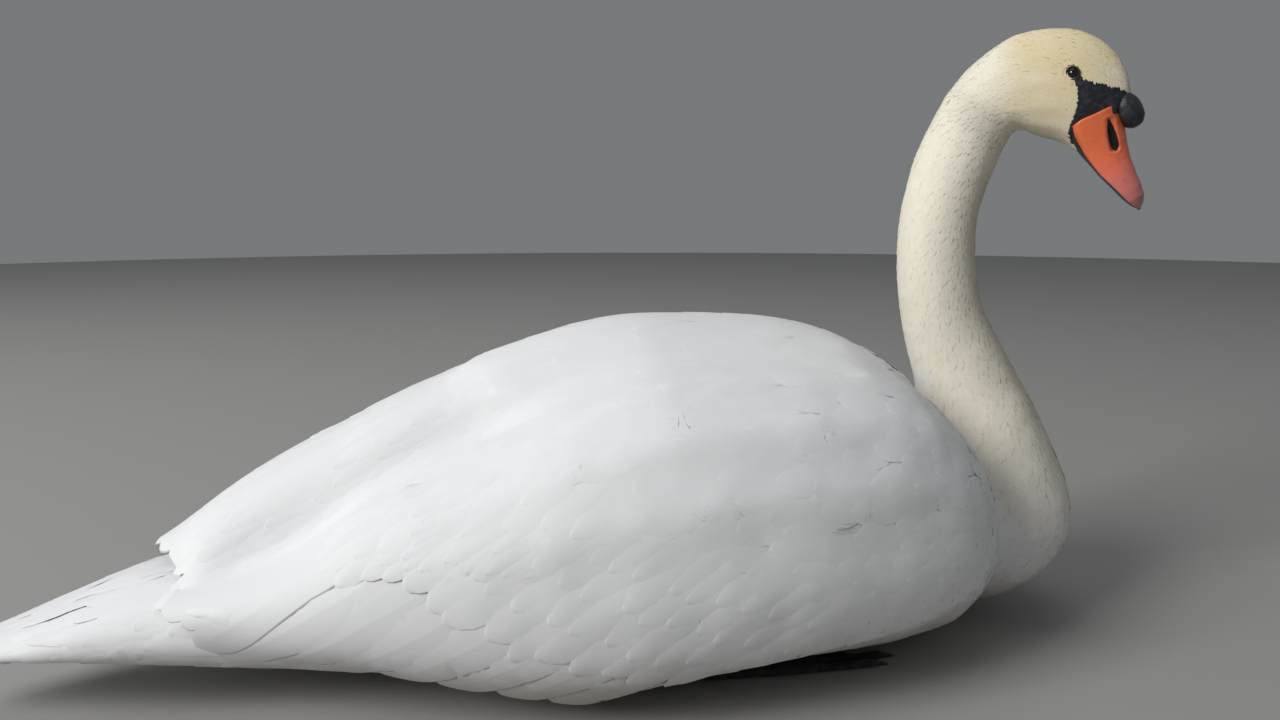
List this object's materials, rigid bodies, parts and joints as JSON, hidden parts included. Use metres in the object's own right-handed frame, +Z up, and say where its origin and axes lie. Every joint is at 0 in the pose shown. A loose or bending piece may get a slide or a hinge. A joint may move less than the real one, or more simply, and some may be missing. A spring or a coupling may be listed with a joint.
{
  "type": "mute swan",
  "caption": "Life-size white waterbird resting on the ground, neck raised in an S and bill held down, wings folded, with black face and knob and orange bill.",
  "frame": {"origin": "on the floor, in the middle of the flat under the belly", "axes": "+X towards the breast, +Y to the bird's left, +Z up"},
  "size_m": [0.854, 0.3356, 0.4614],
  "materials": {
    "plumage_white": "matte white feathers, lying close",
    "plumage_neck": "matte ivory feathers, short and soft",
    "plumage_head": "velvety cream feathers",
    "bill_orange": "satin orange-red horn",
    "bill_tip": "satin pinkish horn",
    "black_skin": "satin black bare skin and horn",
    "eye": "wet glossy dark brown",
    "leg_skin": "matte blackish scaly skin",
    "claw": "satin black horn"
  },
  "bodies": {
    "root": {"trunk": "plumage_white", "rump": "plumage_white", "tail": "plumage_white", "breast": "plumage_white", "back": "plumage_white", "wing_left_coverts": "plumage_white", "wing_left_tertials": "plumage_white", "wing_left_secondaries": "plumage_white", "wing_left_primaries": "plumage_white", "wing_right_coverts": "plumage_white", "wing_right_tertials": "plumage_white", "wing_right_secondaries": "plumage_white", "wing_right_primaries": "plumage_white", "neck_base": "plumage_neck", "neck_lower": "plumage_neck", "neck_middle": "plumage_neck", "neck_upper": "plumage_neck", "head": "plumage_head", "bill_upper": "bill_orange", "bill_nail": "bill_tip", "bill_lower": "black_skin", "knob": "black_skin", "eye_left": "eye", "leg_left": "leg_skin", "foot_left": "leg_skin", "claw_left_inner": "claw", "claw_left_middle": "claw", "claw_left_outer": "claw", "claw_left_hind": "claw", "eye_right": "eye", "leg_right": "leg_skin", "foot_right": "leg_skin", "claw_right_inner": "claw", "claw_right_middle": "claw", "claw_right_outer": "claw", "claw_right_hind": "claw"}
  },
  "joints": []
}
